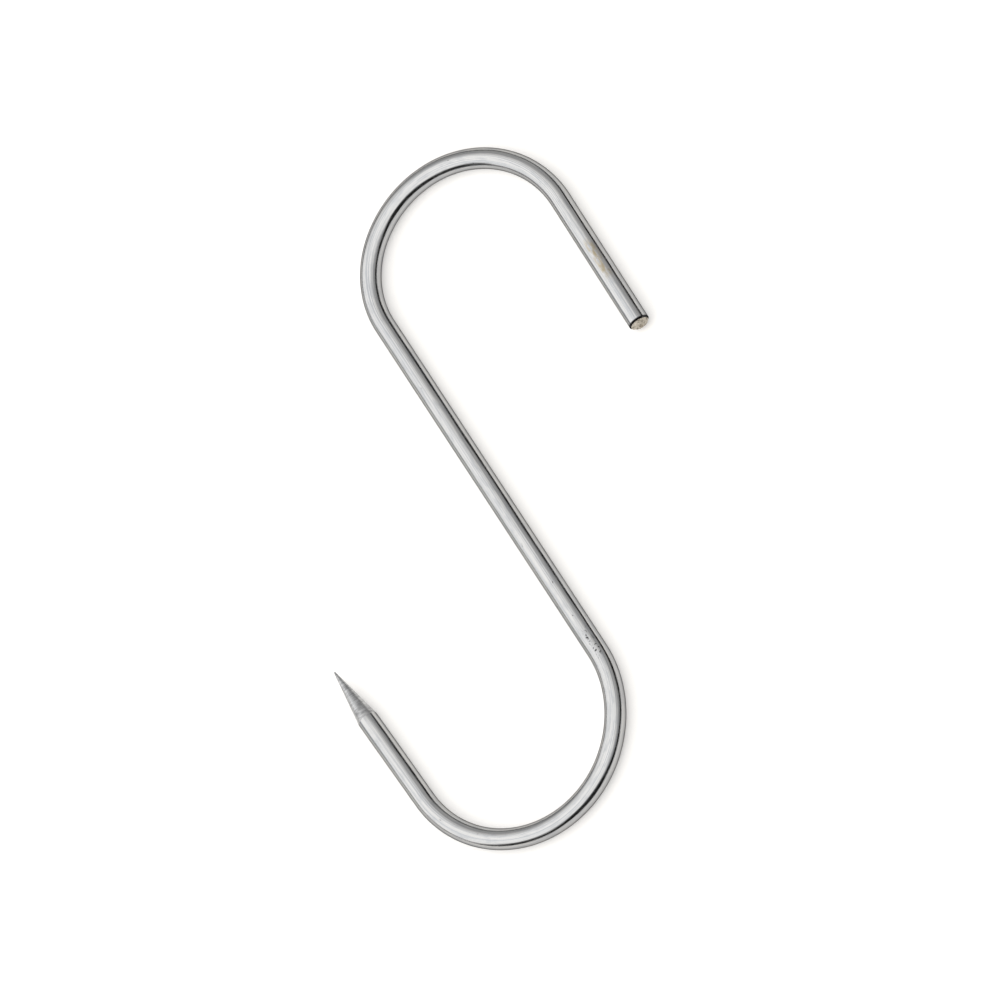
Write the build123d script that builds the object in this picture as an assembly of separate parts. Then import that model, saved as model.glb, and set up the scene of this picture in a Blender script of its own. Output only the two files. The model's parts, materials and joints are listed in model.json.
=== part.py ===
from build123d import *
import math
import os

"""An S hook bent from one length of round steel wire: a large open bend at each end of a straight
shank, one end cut off square and the other ground to a long point.

The hook lies flat, as it rests on a table. The wire touches the table along its whole length, so its
centreline is one wire radius above Z = 0. +Y is the line of pull, from the lower bend to the upper one.
The origin is the middle of the hook's box, at the table. Millimetres and degrees throughout.
"""

# Wire
wire_diameter = 6.0

# Straight runs of the centreline
blunt_leg_length = 44.5      # from the cut end to the upper bend
shank_length = 117.0         # between the two bends
pointed_leg_length = 29.6    # from the lower bend to the shoulder of the ground point

# Upper bend, counted from the blunt leg: a round crown, then a tighter run into the shank
upper_crown_radius = 31.5
upper_crown_angle = 127.0
upper_shank_radius = 27.2
upper_shank_angle = 54.0

# Lower bend, counted from the shank: a wider run out of the shank, then a round crown
lower_shank_radius = 33.2
lower_shank_angle = 55.5
lower_crown_radius = 31.5
lower_crown_angle = 122.0

# Ends
cut_edge_chamfer = 0.35      # edge left by the shears, all round the cut face
point_length = 17.6          # ground cone, from its shoulder to its tip
tip_diameter = 0.5
tip_round = 0.2

wire_radius = wire_diameter / 2


def hook_runs():
    """Return the centreline's runs in order, from the cut end to the shoulder of the point."""
    blunt_leg = Line((0, 0), (0, blunt_leg_length))
    upper_crown = JernArc(blunt_leg @ 1, blunt_leg % 1, upper_crown_radius, upper_crown_angle)
    upper_shank = JernArc(upper_crown @ 1, upper_crown % 1, upper_shank_radius, upper_shank_angle)
    shank_end = upper_shank @ 1 + (upper_shank % 1) * shank_length
    shank = Line(upper_shank @ 1, shank_end)
    lower_shank = JernArc(shank @ 1, shank % 1, lower_shank_radius, -lower_shank_angle)
    lower_crown = JernArc(lower_shank @ 1, lower_shank % 1, lower_crown_radius, -lower_crown_angle)
    leg_end = lower_crown @ 1 + (lower_crown % 1) * pointed_leg_length
    pointed_leg = Line(lower_crown @ 1, leg_end)
    return [blunt_leg, upper_crown, upper_shank, shank, lower_shank, lower_crown, pointed_leg]


def bent_wire(path):
    """Sweep the round wire along its path, and break the edge of the cut face."""
    section = Plane(origin=path @ 0, z_dir=path % 0) * Circle(wire_radius)
    wire = sweep(section, path=path)
    cut_edge = wire.edges().filter_by(GeomType.CIRCLE).sort_by_distance(path @ 0)[0]
    return chamfer(cut_edge, cut_edge_chamfer)


def ground_point(path):
    """Make the ground cone on the far end of the path, with its tip slightly rounded."""
    cone = Cone(wire_radius, tip_diameter / 2, point_length, align=(Align.CENTER, Align.CENTER, Align.MIN))
    tip_edge = cone.edges().sort_by(Axis.Z)[-1]
    cone = fillet(tip_edge, tip_round)
    return Plane(origin=path @ 1, z_dir=path % 1) * cone


def to_rest(solid, upper_centre, lower_centre):
    """Return the move that turns the line of pull to +Y and stands the hook's box on the origin."""
    pull = upper_centre - lower_centre
    turn = Rot(0, 0, 90 - math.degrees(math.atan2(pull.Y, pull.X)))
    box = (turn * solid).bounding_box()
    return Pos(-box.center().X, -box.center().Y, -box.min.Z) * turn


runs = hook_runs()
blunt_leg, upper_crown, upper_shank, shank, lower_shank, lower_crown, pointed_leg = runs
path = Wire([run.edge() for run in runs])

wire = bent_wire(path)
hook = wire + ground_point(path)
rest = to_rest(hook, upper_crown.arc_center, lower_crown.arc_center)
hook = rest * hook
hook.label = "hook"

os.makedirs("parts", exist_ok=True)
export_step(hook, "parts/hook.step")


def place(point):
    """Return a point of the centreline's own plane where it lies once the hook is at rest."""
    spot = (rest * Pos(point)).position
    return [round(value, 3) for value in (spot.X, spot.Y, spot.Z)]


upper_centre = Vector(*place(upper_crown.arc_center))
lower_centre = Vector(*place(lower_crown.arc_center))
size = hook.bounding_box().size
print("solids", len(hook.solids()), "volume", round(hook.volume, 2))
print("size", [round(value, 3) for value in (size.X, size.Y, size.Z)])
print("wire length", round(path.length + point_length, 2))
print("swept volume over section times length", wire.volume / (math.pi * wire_radius**2 * path.length))
print("cut end", place(blunt_leg @ 0), "start of upper bend", place(blunt_leg @ 1))
print("upper bend centre", upper_centre, "lower bend centre", lower_centre)
print("rail seat", upper_centre.Y + upper_crown_radius - wire_radius)
print("load seat", lower_centre.Y - lower_crown_radius + wire_radius)
print("shank", place(shank @ 0), place(shank @ 1))
print("pointed leg", place(pointed_leg @ 0), place(pointed_leg @ 1))
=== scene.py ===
"""Looks of an S hook: one length of bright drawn steel wire, bent twice, cut off at one end and ground to a
point at the other, lying on a pale floor under soft light. Lengths are metres, angles are degrees."""

import json
import logging
import math
from dataclasses import dataclass, field
from enum import Enum

import bmesh
import bpy
from mathutils import Matrix, Vector
from mathutils.kdtree import KDTree

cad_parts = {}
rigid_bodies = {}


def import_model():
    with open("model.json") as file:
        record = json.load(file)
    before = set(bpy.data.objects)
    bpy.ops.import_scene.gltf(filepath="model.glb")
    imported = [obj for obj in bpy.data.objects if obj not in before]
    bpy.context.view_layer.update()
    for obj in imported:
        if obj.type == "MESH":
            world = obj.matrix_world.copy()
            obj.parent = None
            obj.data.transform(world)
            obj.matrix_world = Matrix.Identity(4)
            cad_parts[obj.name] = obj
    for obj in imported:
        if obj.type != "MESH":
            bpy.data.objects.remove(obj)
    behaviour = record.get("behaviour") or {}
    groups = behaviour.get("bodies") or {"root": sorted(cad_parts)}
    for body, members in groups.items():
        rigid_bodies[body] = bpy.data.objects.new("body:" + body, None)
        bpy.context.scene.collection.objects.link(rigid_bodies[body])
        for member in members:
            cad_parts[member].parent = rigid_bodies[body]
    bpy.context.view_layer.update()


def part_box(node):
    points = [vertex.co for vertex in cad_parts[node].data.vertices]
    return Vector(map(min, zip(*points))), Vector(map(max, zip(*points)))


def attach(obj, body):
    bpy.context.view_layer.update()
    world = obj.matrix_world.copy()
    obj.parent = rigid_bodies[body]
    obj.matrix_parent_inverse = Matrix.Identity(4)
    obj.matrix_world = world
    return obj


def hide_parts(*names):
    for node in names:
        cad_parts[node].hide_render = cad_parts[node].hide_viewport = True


MM = 0.001
log = logging.getLogger("s_hook")


class Finish(Enum):
    """The three finishes on the wire, in the order of its material slots."""

    DRAWN = 0
    GROUND = 1
    SHEARED = 2


def deselect_all() -> None:
    """Leave nothing selected in object mode, so that an operator reaches only the piece in hand."""
    if bpy.context.object and bpy.context.object.mode != "OBJECT":
        bpy.ops.object.mode_set(mode="OBJECT")
    bpy.ops.object.select_all(action="DESELECT")


def direction(azimuth: float, elevation: float) -> Vector:
    """Give the unit vector of a direction.

    Args:
        azimuth: Degrees from +X towards +Y.
        elevation: Degrees above the floor.

    Returns:
        The vector, of length one.
    """
    a, e = math.radians(azimuth), math.radians(elevation)
    return Vector((math.cos(e) * math.cos(a), math.cos(e) * math.sin(a), math.sin(e)))


class NodeSheet:
    """A material's or the world's node tree, with short calls for the nodes that the finishes share."""

    def __init__(self, tree: bpy.types.NodeTree) -> None:
        """Empty the tree, ready for new nodes."""
        self.tree = tree
        tree.nodes.clear()

    def add(self, kind: str, **settings: object) -> bpy.types.Node:
        """Add a node.

        Args:
            kind: The node's type name.
            settings: Properties to set on the node.

        Returns:
            The new node.
        """
        node = self.tree.nodes.new(kind)
        for name, value in settings.items():
            setattr(node, name, value)
        return node

    def join(self, source: bpy.types.NodeSocket, target: bpy.types.NodeSocket) -> None:
        """Link an output to an input."""
        self.tree.links.new(source, target)

    def feed(self, value: object, target: bpy.types.NodeSocket) -> None:
        """Link the value to the input if it is a socket, and set it there if it is a plain value."""
        if isinstance(value, bpy.types.NodeSocket):
            self.join(value, target)
        else:
            target.default_value = value

    def maths(self, operation: str, first: object, second: object = 0.0, clamp: bool = False) -> bpy.types.NodeSocket:
        """Work out a sum on numbers.

        Args:
            operation: The Math node's operation.
            first: A socket or a number.
            second: A socket or a number.
            clamp: Whether the result is kept between 0 and 1.

        Returns:
            The result's socket.
        """
        node = self.add("ShaderNodeMath", operation=operation, use_clamp=clamp)
        self.feed(first, node.inputs[0])
        self.feed(second, node.inputs[1])
        return node.outputs[0]

    def ramp(self, value: object, low: float, high: float, start: float = 0.0, end: float = 1.0) -> bpy.types.NodeSocket:
        """Map a number smoothly from one range to another, held at both ends.

        Args:
            value: A socket or a number.
            low: Where the change starts.
            high: Where it ends. It may be under low.
            start: The result at low.
            end: The result at high.

        Returns:
            The result's socket.
        """
        node = self.add("ShaderNodeMapRange", interpolation_type="SMOOTHSTEP", clamp=True)
        for name, number in (("From Min", low), ("From Max", high), ("To Min", start), ("To Max", end)):
            node.inputs[name].default_value = number
        self.feed(value, node.inputs["Value"])
        return node.outputs["Result"]

    def noise(self, place: bpy.types.NodeSocket, scale: tuple[float, float, float], detail: float = 2.0) -> bpy.types.NodeSocket:
        """Lay a noise over a place, stretched by a different scale each way.

        Args:
            place: The coordinates.
            scale: Waves per metre along the coordinates' three axes.
            detail: Octaves.

        Returns:
            The noise, about 0.3 to 0.7.
        """
        mapping = self.add("ShaderNodeMapping")
        mapping.inputs["Scale"].default_value = scale
        self.join(place, mapping.inputs["Vector"])
        node = self.add("ShaderNodeTexNoise")
        node.inputs["Scale"].default_value = 1.0
        node.inputs["Detail"].default_value = detail
        self.join(mapping.outputs["Vector"], node.inputs["Vector"])
        return node.outputs["Fac"]

    def mix(self, amount: object, first: object, second: object) -> bpy.types.NodeSocket:
        """Blend two colours.

        Args:
            amount: How much of the second, 0 to 1.
            first: A socket or an RGBA colour.
            second: A socket or an RGBA colour.

        Returns:
            The blended colour's socket.
        """
        node = self.add("ShaderNodeMix", data_type="RGBA")
        self.feed(amount, node.inputs["Factor"])
        self.feed(first, node.inputs["A"] if node.inputs["A"].type == "RGBA" else node.inputs[6])
        self.feed(second, node.inputs["B"] if node.inputs["B"].type == "RGBA" else node.inputs[7])
        return node.outputs[2]


@dataclass
class BentWire:
    """The hook itself. The sizes are those of the CAD part, and the place is worked out from its box."""

    radius: float = 3.0 * MM
    blunt_leg: float = 44.5 * MM
    shank: float = 117.0 * MM
    pointed_leg: float = 29.6 * MM
    crown_radius: float = 31.5 * MM
    upper_crown_turn: float = 127.0
    upper_shank_radius: float = 27.2 * MM
    upper_shank_turn: float = 54.0
    lower_shank_radius: float = 33.2 * MM
    lower_shank_turn: float = -55.5
    lower_crown_turn: float = -122.0
    edge_chamfer: float = 0.35 * MM
    point_length: float = 17.6 * MM
    tip_radius: float = 0.25 * MM
    tip_round: float = 0.2 * MM
    face_rings: int = 12
    face_dome: float = 1.1 * MM
    tear: float = 0.45 * MM
    sides: int = 96
    turn_step: float = 2.0
    straight_step: float = 3.0 * MM
    stations: list[tuple[Vector, float, float]] = field(default_factory=list)

    def build(self, low: Vector, high: Vector) -> bpy.types.Object:
        """Shape the wire from one ring, as it is drawn, bent, cut and ground.

        Args:
            low: The lowest corner of the CAD part's box.
            high: The highest corner of the box.

        Returns:
            The finished mesh object, where it rests.
        """
        wire = self.first_ring()
        bpy.ops.object.mode_set(mode="EDIT")
        self.break_cut_edge()
        self.go_straight(self.blunt_leg - self.edge_chamfer)
        upper_centre = self.bend(self.crown_radius, self.upper_crown_turn)
        self.bend(self.upper_shank_radius, self.upper_shank_turn)
        self.go_straight(self.shank)
        self.bend(self.lower_shank_radius, self.lower_shank_turn)
        lower_centre = self.bend(self.crown_radius, self.lower_crown_turn)
        self.go_straight(self.pointed_leg)
        self.grind_point()
        self.close_ends(wire)
        bpy.ops.object.mode_set(mode="OBJECT")
        self.note_runs(wire)
        self.lay_down(wire, upper_centre - lower_centre, low, high)
        return wire

    def first_ring(self) -> bpy.types.Object:
        """Add the ring that the wire grows from: the rim of the cut face, square to +Y."""
        deselect_all()
        bpy.ops.mesh.primitive_circle_add(
            vertices=self.sides, radius=self.radius - self.edge_chamfer, fill_type="NOTHING",
            location=(0, 0, 0), rotation=(math.pi / 2, 0, 0))
        wire = bpy.context.object
        wire.name = "hook_wire"
        wire.data.name = "hook_wire"
        bpy.ops.object.transform_apply(location=True, rotation=True, scale=True)
        self.spot = Vector((0, 0, 0))
        self.heading = 90.0
        self.travelled = 0.0
        self.stations = [(self.spot.copy(), self.heading, 0.0)]
        return wire

    def forward(self) -> Vector:
        """Give the unit vector along which the wire is now growing."""
        return direction(self.heading, 0)

    def note(self, step: float) -> None:
        """Record where the newest ring lies, for the pattern that follows the wire."""
        self.travelled += step
        self.stations.append((self.spot.copy(), self.heading, self.travelled))

    def push(self, step: float, scale: float = 1.0) -> None:
        """Extrude the newest ring straight on, and resize it.

        Args:
            step: How far it goes.
            scale: Its new size over its old one.
        """
        move = self.forward() * step
        bpy.ops.mesh.extrude_region_move(TRANSFORM_OT_translate={"value": move})
        self.spot += move
        if scale != 1.0:
            bpy.ops.transform.resize(value=(scale, scale, scale), center_override=self.spot)
        self.note(step)

    def break_cut_edge(self) -> None:
        """Grow the rim of the cut face out to the wire's full size."""
        self.push(self.edge_chamfer, self.radius / (self.radius - self.edge_chamfer))

    def go_straight(self, length: float) -> None:
        """Extrude a straight run in equal steps."""
        steps = max(1, round(length / self.straight_step))
        for _ in range(steps):
            self.push(length / steps)

    def bend(self, radius: float, turn: float) -> Vector:
        """Spin the newest ring round a bend.

        Args:
            radius: From the bend's centre to the centreline.
            turn: Degrees, counted to the left.

        Returns:
            The bend's centre.
        """
        side = math.copysign(1.0, turn)
        centre = self.spot + direction(self.heading + 90 * side, 0) * radius
        steps = max(1, round(abs(turn) / self.turn_step))
        bpy.ops.mesh.spin(steps=steps, angle=-math.radians(turn), center=centre, axis=(0, 0, 1))
        for _ in range(steps):
            self.heading += turn / steps
            self.spot = centre - direction(self.heading + 90 * side, 0) * radius
            self.note(math.radians(abs(turn)) * radius / steps)
        return centre

    def grind_point(self) -> None:
        """Extrude and shrink the newest ring to the ground cone, and round its tip."""
        steps = 14
        size = self.radius
        cone_end = self.tip_radius
        for step in range(1, steps + 1):
            new_size = self.radius + (cone_end - self.radius) * step / steps
            self.push((self.point_length - self.tip_round) / steps, new_size / size)
            size = new_size
        rounds = 4
        for step in range(1, rounds + 1):
            bow = math.radians(80 * step / rounds)
            new_size = self.tip_radius * math.cos(bow)
            rise = self.tip_round * (math.sin(bow) - math.sin(math.radians(80 * (step - 1) / rounds)))
            self.push(rise, new_size / size)
            size = new_size

    def close_ends(self, wire: bpy.types.Object) -> None:
        """Fill the tip and the cut face, and give the cut face the rings that its sheared skin needs.

        Args:
            wire: The object in edit mode.
        """
        bpy.ops.mesh.edge_face_add()
        mesh = bmesh.from_edit_mesh(wire.data)
        for face in mesh.faces:
            face.select_set(False)
        for edge in mesh.edges:
            edge.select_set(abs(edge.verts[0].co.y) < 1e-7 and abs(edge.verts[1].co.y) < 1e-7 and edge.is_boundary)
        bmesh.update_edit_mesh(wire.data)
        bpy.ops.mesh.edge_face_add()
        rings = self.face_rings + 1
        for ring in range(self.face_rings):
            bulge = self.face_dome * ((1 - ring / rings) ** 2 - (1 - (ring + 1) / rings) ** 2)
            bpy.ops.mesh.inset(thickness=(self.radius - self.edge_chamfer) / rings, depth=bulge)
        bpy.ops.mesh.poke()
        for _ in range(self.face_rings - 1):
            bpy.ops.mesh.select_more()
        bpy.ops.transform.vertex_random(offset=self.tear, uniform=0.0, normal=1.0, seed=7)
        bpy.ops.mesh.vertices_smooth(factor=0.5, repeat=2)
        bpy.ops.mesh.select_all(action="SELECT")
        bpy.ops.mesh.remove_doubles(threshold=1e-7)
        bpy.ops.mesh.normals_make_consistent(inside=False)

    def note_runs(self, wire: bpy.types.Object) -> None:
        """Store on each point how far along the wire it is, and where it is in the wire's section.

        Args:
            wire: The finished wire, still where it was grown.
        """
        tree = KDTree(len(self.stations))
        for index, (spot, _, _) in enumerate(self.stations):
            tree.insert(spot, index)
        tree.balance()
        wire.data.attributes.new("run", "FLOAT_VECTOR", "POINT")
        run = wire.data.attributes["run"].data
        for vertex in wire.data.vertices:
            _, index, _ = tree.find(vertex.co)
            spot, heading, travelled = self.stations[index]
            offset = vertex.co - spot
            along = offset.dot(direction(heading, 0))
            across = offset.dot(direction(heading - 90, 0))
            run[vertex.index].vector = (travelled + along, across, offset.z)

    def lay_down(self, wire: bpy.types.Object, pull: Vector, low: Vector, high: Vector) -> None:
        """Turn the line of pull to +Y and set the wire in the CAD part's box.

        Args:
            wire: The object, with its mesh where it was grown.
            pull: From the lower bend's centre to the upper one's.
            low: The box's lowest corner.
            high: The box's highest corner.
        """
        deselect_all()
        wire.select_set(True)
        bpy.context.view_layer.objects.active = wire
        wire.rotation_euler = (0, 0, math.pi / 2 - math.atan2(pull.y, pull.x))
        bpy.ops.object.transform_apply(location=True, rotation=True, scale=True)
        corners = [Vector(corner) for corner in wire.bound_box]
        centre = sum(corners, Vector()) / len(corners)
        wire.location = (low + high) / 2 - centre
        bpy.ops.object.transform_apply(location=True, rotation=True, scale=True)

    def dress(self, wire: bpy.types.Object, finishes: list[bpy.types.Material]) -> None:
        """Give the wire, its point and its cut face their finishes, and shade it smooth.

        Args:
            wire: The finished wire.
            finishes: Materials in the order of Finish.
        """
        for finish in finishes:
            wire.data.materials.append(finish)
        run = wire.data.attributes["run"].data
        shoulder = self.travelled - self.point_length
        for face in wire.data.polygons:
            along = [run[index].vector.x for index in face.vertices]
            if max(along) < self.edge_chamfer * 0.9:
                face.material_index = Finish.SHEARED.value
            elif min(along) > shoulder - 1e-6:
                face.material_index = Finish.GROUND.value
            else:
                face.material_index = Finish.DRAWN.value
        deselect_all()
        wire.select_set(True)
        bpy.context.view_layer.objects.active = wire
        bpy.ops.object.shade_smooth_by_angle(angle=math.radians(10))


@dataclass(frozen=True)
class Patch:
    """A place on the wire's skin: how far along the wire, and on which side of its section."""

    along: float
    reach: float
    across: float
    spread: float

    def mask(self, sheet: NodeSheet, run: bpy.types.NodeSocket) -> bpy.types.NodeSocket:
        """Give 1 in the patch's middle on the wire's upper side, falling to 0 at its edge.

        Args:
            sheet: The finish's node sheet.
            run: The coordinates that follow the wire.

        Returns:
            The mask's socket.
        """
        parts = sheet.add("ShaderNodeSeparateXYZ")
        sheet.join(run, parts.inputs[0])
        lengthwise = sheet.maths("ABSOLUTE", sheet.maths("SUBTRACT", parts.outputs["X"], self.along))
        sideways = sheet.maths("ABSOLUTE", sheet.maths("SUBTRACT", parts.outputs["Y"], self.across))
        inside = sheet.maths("MULTIPLY", sheet.ramp(lengthwise, self.reach, self.reach * 0.4),
                             sheet.ramp(sideways, self.spread, self.spread * 0.4))
        return sheet.maths("MULTIPLY", inside, sheet.ramp(parts.outputs["Z"], 0.0, 0.5 * MM))


@dataclass(frozen=True)
class DrawnSteel:
    """Bright drawn wire: nearly a mirror, with fine lengthwise lines, faint mottling and a few marks."""

    colour: tuple[float, float, float, float] = (0.50, 0.495, 0.485, 1)
    streak_colour: tuple[float, float, float, float] = (0.36, 0.37, 0.385, 1)
    stain_colour: tuple[float, float, float, float] = (0.37, 0.32, 0.23, 1)
    fleck_colour: tuple[float, float, float, float] = (0.05, 0.05, 0.05, 1)
    rim_colour: tuple[float, float, float, float] = (0.04, 0.04, 0.04, 1)
    edge_colour: tuple[float, float, float, float] = (0.15, 0.15, 0.155, 1)
    roughness: tuple[float, float] = (0.11, 0.21)
    # Where a darker band on the skin next to the cut face starts and ends, measured along the wire from the cut.
    dark_rim_band: tuple[float, float] = (0.75 * MM, 0.45 * MM)
    stain: Patch = Patch(22.0 * MM, 8.0 * MM, 0.6 * MM, 1.5 * MM)
    pits: Patch = Patch(255.5 * MM, 6.0 * MM, -0.8 * MM, 1.3 * MM)

    def material(self) -> bpy.types.Material:
        """Build the material."""
        material = bpy.data.materials.new("drawn_steel")
        material.use_nodes = True
        sheet = NodeSheet(material.node_tree)
        run = sheet.add("ShaderNodeAttribute", attribute_name="run").outputs["Vector"]
        lines = sheet.noise(run, (22, 5200, 5200), 2)
        mottle = sheet.noise(run, (260, 900, 900), 3)
        colour = sheet.mix(sheet.ramp(lines, 0.42, 0.68), self.colour, self.streak_colour)
        colour = sheet.mix(sheet.ramp(mottle, 0.45, 0.7, 0.0, 0.5), colour, self.streak_colour)
        tarnish = sheet.ramp(sheet.noise(run, (420, 1100, 1100), 3), 0.35, 0.6)
        stained = sheet.maths("MULTIPLY", self.stain.mask(sheet, run), tarnish)
        colour = sheet.mix(stained, colour, self.stain_colour)
        pitted = sheet.maths("MULTIPLY", self.pits.mask(sheet, run),
                             sheet.ramp(sheet.noise(run, (1500, 1900, 1900), 1), 0.56, 0.63))
        flecks = sheet.ramp(sheet.noise(run, (330, 800, 800), 2), 0.735, 0.765)
        marks = sheet.maths("MAXIMUM", pitted, flecks)
        colour = sheet.mix(marks, colour, self.fleck_colour)
        along = sheet.add("ShaderNodeSeparateXYZ")
        sheet.join(run, along.inputs[0])
        # Darken the skin next to the cut face to rim_colour: fully up to 0.45 mm from the cut, fading out by 0.75 mm.
        colour = sheet.mix(sheet.ramp(along.outputs["X"], *self.dark_rim_band), colour, self.rim_colour)
        rough = sheet.ramp(mottle, 0.3, 0.7, *self.roughness)
        rough = sheet.maths("ADD", rough, sheet.maths("MULTIPLY", sheet.maths("MAXIMUM", marks, stained), 0.25))
        shader = sheet.add("ShaderNodeBsdfPrincipled")
        shader.inputs["Metallic"].default_value = 1.0
        shader.inputs["Specular Tint"].default_value = self.edge_colour
        sheet.join(colour, shader.inputs["Base Color"])
        sheet.join(rough, shader.inputs["Roughness"])
        waves = sheet.noise(run, (55, 260, 260), 2)
        ripple = sheet.add("ShaderNodeBump")
        ripple.inputs["Distance"].default_value = 0.0002
        ripple.inputs["Strength"].default_value = 0.6
        sheet.join(waves, ripple.inputs["Height"])
        scratch = sheet.add("ShaderNodeBump")
        scratch.inputs["Distance"].default_value = 0.00002
        scratch.inputs["Strength"].default_value = 0.4
        sheet.join(sheet.maths("SUBTRACT", lines, sheet.maths("MULTIPLY", marks, 2.0)), scratch.inputs["Height"])
        sheet.join(ripple.outputs["Normal"], scratch.inputs["Normal"])
        sheet.join(scratch.outputs["Normal"], shader.inputs["Normal"])
        output = sheet.add("ShaderNodeOutputMaterial")
        sheet.join(shader.outputs["BSDF"], output.inputs["Surface"])
        return material


@dataclass(frozen=True)
class GroundSteel:
    """The point's ground skin: matt, with short scratches round the cone."""

    colour: tuple[float, float, float, float] = (0.52, 0.52, 0.52, 1)
    groove_colour: tuple[float, float, float, float] = (0.26, 0.26, 0.265, 1)
    roughness: tuple[float, float] = (0.3, 0.45)

    def material(self) -> bpy.types.Material:
        """Build the material."""
        material = bpy.data.materials.new("ground_steel")
        material.use_nodes = True
        sheet = NodeSheet(material.node_tree)
        run = sheet.add("ShaderNodeAttribute", attribute_name="run").outputs["Vector"]
        scratches = sheet.noise(run, (5000, 500, 500), 2)
        colour = sheet.mix(sheet.ramp(scratches, 0.42, 0.62), self.colour, self.groove_colour)
        shader = sheet.add("ShaderNodeBsdfPrincipled")
        shader.inputs["Metallic"].default_value = 1.0
        sheet.join(colour, shader.inputs["Base Color"])
        sheet.join(sheet.ramp(scratches, 0.3, 0.7, *self.roughness), shader.inputs["Roughness"])
        bump = sheet.add("ShaderNodeBump")
        bump.inputs["Distance"].default_value = 0.00004
        bump.inputs["Strength"].default_value = 0.5
        sheet.join(scratches, bump.inputs["Height"])
        sheet.join(bump.outputs["Normal"], shader.inputs["Normal"])
        output = sheet.add("ShaderNodeOutputMaterial")
        sheet.join(shader.outputs["BSDF"], output.inputs["Surface"])
        return material


@dataclass(frozen=True)
class ShearedSteel:
    """The cut face: torn, dull and slightly brown."""

    colour: tuple[float, float, float, float] = (0.62, 0.57, 0.49, 1)
    pit_colour: tuple[float, float, float, float] = (0.22, 0.19, 0.15, 1)

    def material(self) -> bpy.types.Material:
        """Build the material."""
        material = bpy.data.materials.new("sheared_steel")
        material.use_nodes = True
        sheet = NodeSheet(material.node_tree)
        place = sheet.add("ShaderNodeTexCoord").outputs["Object"]
        grain = sheet.noise(place, (1400, 1400, 1400), 4)
        shader = sheet.add("ShaderNodeBsdfPrincipled")
        shader.inputs["Metallic"].default_value = 0.7
        shader.inputs["Roughness"].default_value = 0.6
        sheet.join(sheet.mix(sheet.ramp(grain, 0.5, 0.68), self.colour, self.pit_colour), shader.inputs["Base Color"])
        bump = sheet.add("ShaderNodeBump")
        bump.inputs["Distance"].default_value = 0.0002
        bump.inputs["Strength"].default_value = 0.6
        sheet.join(grain, bump.inputs["Height"])
        sheet.join(bump.outputs["Normal"], shader.inputs["Normal"])
        output = sheet.add("ShaderNodeOutputMaterial")
        sheet.join(shader.outputs["BSDF"], output.inputs["Surface"])
        return material


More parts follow.
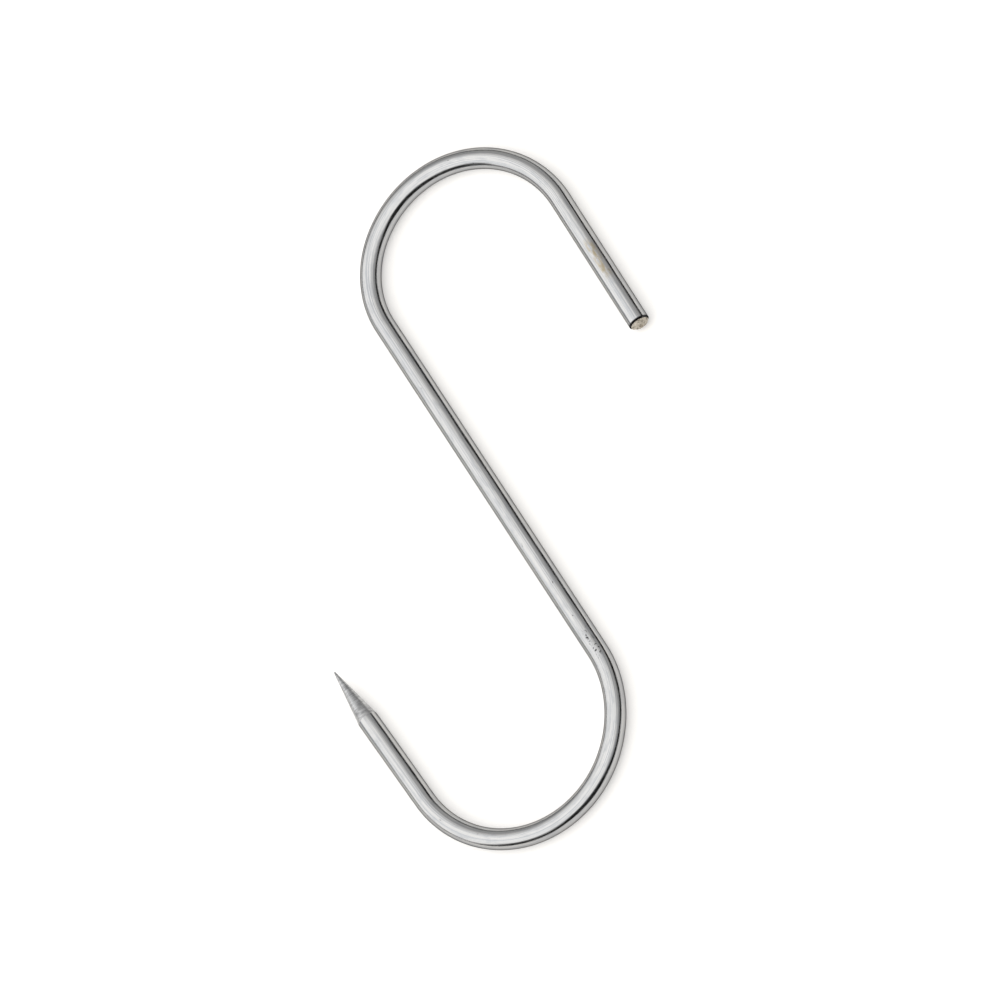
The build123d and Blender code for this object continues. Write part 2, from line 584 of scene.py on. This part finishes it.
@dataclass
class Studio:
    """The pale floor, the soft surround that lights the hook, and the camera."""

    floor_size: float = 6.0
    floor_colour: tuple[float, float, float, float] = (0.82, 0.80, 0.77, 1)
    floor_lift: float = 0.30
    light_level: float = 2.05
    wall_level: float = 0.70
    deepest_dark: float = 0.97
    camera_azimuth: float = 55.5
    camera_elevation: float = 62.15
    camera_roll: float = -63.33
    camera_distance: float = 3.0
    picture_width: float = 0.27469
    aim_right: float = 2.62 * MM
    aim_up: float = -1.045 * MM
    aim_height: float = 3.0 * MM

    def floor(self) -> bpy.types.Object:
        """Lay the floor, lifted to white for the eye and for reflections, with the shadow left in it."""
        deselect_all()
        bpy.ops.mesh.primitive_plane_add(size=self.floor_size, location=(0, 0, 0))
        floor = bpy.context.object
        floor.name = "floor"
        material = bpy.data.materials.new("pale_floor")
        material.use_nodes = True
        sheet = NodeSheet(material.node_tree)
        paths = sheet.add("ShaderNodeLightPath").outputs
        seen = sheet.maths("ADD", paths["Is Camera Ray"], paths["Is Glossy Ray"], clamp=True)
        seen = sheet.maths("ADD", seen, paths["Is Transmission Ray"], clamp=True)
        matt = sheet.add("ShaderNodeBsdfDiffuse")
        matt.inputs["Color"].default_value = self.floor_colour
        glow = sheet.add("ShaderNodeEmission")
        sheet.join(sheet.maths("MULTIPLY", seen, self.floor_lift), glow.inputs["Strength"])
        both = sheet.add("ShaderNodeAddShader")
        sheet.join(matt.outputs[0], both.inputs[0])
        sheet.join(glow.outputs[0], both.inputs[1])
        output = sheet.add("ShaderNodeOutputMaterial")
        sheet.join(both.outputs[0], output.inputs["Surface"])
        floor.data.materials.append(material)
        return floor

    def surround(self) -> None:
        """Light the world: a wide soft light over one side, grey walls, and a dark side by the camera."""
        world = bpy.data.worlds.new("studio")
        bpy.context.scene.world = world
        world.use_nodes = True
        sheet = NodeSheet(world.node_tree)
        look = sheet.add("ShaderNodeTexCoord").outputs["Generated"]

        def lobe(azimuth: float, elevation: float, radius: float, soft: float) -> bpy.types.NodeSocket:
            """Give 1 inside a cone of directions and 0 outside it, with a soft edge."""
            dot = sheet.add("ShaderNodeVectorMath", operation="DOT_PRODUCT")
            sheet.join(look, dot.inputs[0])
            dot.inputs[1].default_value = direction(azimuth, elevation)
            outer, inner = math.cos(math.radians(radius + soft)), math.cos(math.radians(radius - soft))
            return sheet.ramp(dot.outputs["Value"], outer, inner)

        side_light = lobe(207, 36, 52, 14)
        top_light = lobe(250, 75, 42, 27)
        lights = sheet.maths("MAXIMUM", side_light, top_light)
        lights = sheet.maths("MULTIPLY", lights, self.light_level - self.wall_level)
        lights = sheet.maths("ADD", lights, self.wall_level)
        height = sheet.add("ShaderNodeSeparateXYZ")
        sheet.join(look, height.inputs[0])
        skirting = sheet.ramp(height.outputs["Z"], 0.26, 0.14, 0.0, 0.75)
        corner = sheet.ramp(height.outputs["Z"], 0.40, 0.28)
        corner = sheet.maths("MULTIPLY", corner, lobe(8, 0, 60, 12))
        dark = sheet.maths("MAXIMUM", lobe(302, -5, 43, 6), lobe(254, -6, 35, 8))
        dark = sheet.maths("MAXIMUM", dark, lobe(335, -8, 30, 7))
        dark = sheet.maths("MAXIMUM", dark, corner)
        dark = sheet.maths("MAXIMUM", dark, skirting)
        dark = sheet.maths("SUBTRACT", 1.0, sheet.maths("MULTIPLY", dark, self.deepest_dark))
        background = sheet.add("ShaderNodeBackground")
        sheet.join(sheet.maths("MULTIPLY", lights, dark), background.inputs["Strength"])
        output = sheet.add("ShaderNodeOutputWorld")
        sheet.join(background.outputs[0], output.inputs["Surface"])

    def camera(self) -> bpy.types.Object:
        """Set the camera above the hook, far off with a long lens, and rolled so that the hook stands up."""
        azimuth, elevation, roll = (math.radians(angle) for angle in
                                    (self.camera_azimuth, self.camera_elevation, self.camera_roll))
        back = Vector((math.cos(elevation) * math.sin(azimuth), -math.cos(elevation) * math.cos(azimuth),
                       math.sin(elevation)))
        level = Vector((math.cos(azimuth), math.sin(azimuth), 0))
        above = back.cross(level)
        right = level * math.cos(roll) + above * math.sin(roll)
        up = above * math.cos(roll) - level * math.sin(roll)
        aim = Vector((0, 0, self.aim_height)) + right * self.aim_right + up * self.aim_up
        data = bpy.data.cameras.new("camera")
        data.sensor_width = 36.0
        data.lens = data.sensor_width * self.camera_distance / self.picture_width
        data.clip_start, data.clip_end = 0.1, 50.0
        camera = bpy.data.objects.new("camera", data)
        bpy.context.scene.collection.objects.link(camera)
        camera.location = aim + back * self.camera_distance
        camera.rotation_mode = "QUATERNION"
        camera.rotation_quaternion = Matrix((right, up, back)).transposed().to_quaternion()
        bpy.context.scene.camera = camera
        return camera


def main() -> None:
    """Load the frame, build the hook and its studio, and report each piece."""
    logging.basicConfig(level=logging.INFO, format="%(name)s: %(message)s")
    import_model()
    studio = Studio()
    studio.camera()
    shape = BentWire()
    wire = shape.build(*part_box("hook"))
    shape.dress(wire, [DrawnSteel().material(), GroundSteel().material(), ShearedSteel().material()])
    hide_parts("hook")
    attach(wire, "root")
    log.info("hook_wire: %d faces, %.1f mm of wire", len(wire.data.polygons), shape.travelled / MM)
    studio.floor()
    studio.surround()
    bpy.context.scene.view_settings.view_transform = "Standard"


if __name__ == "__main__":
    main()
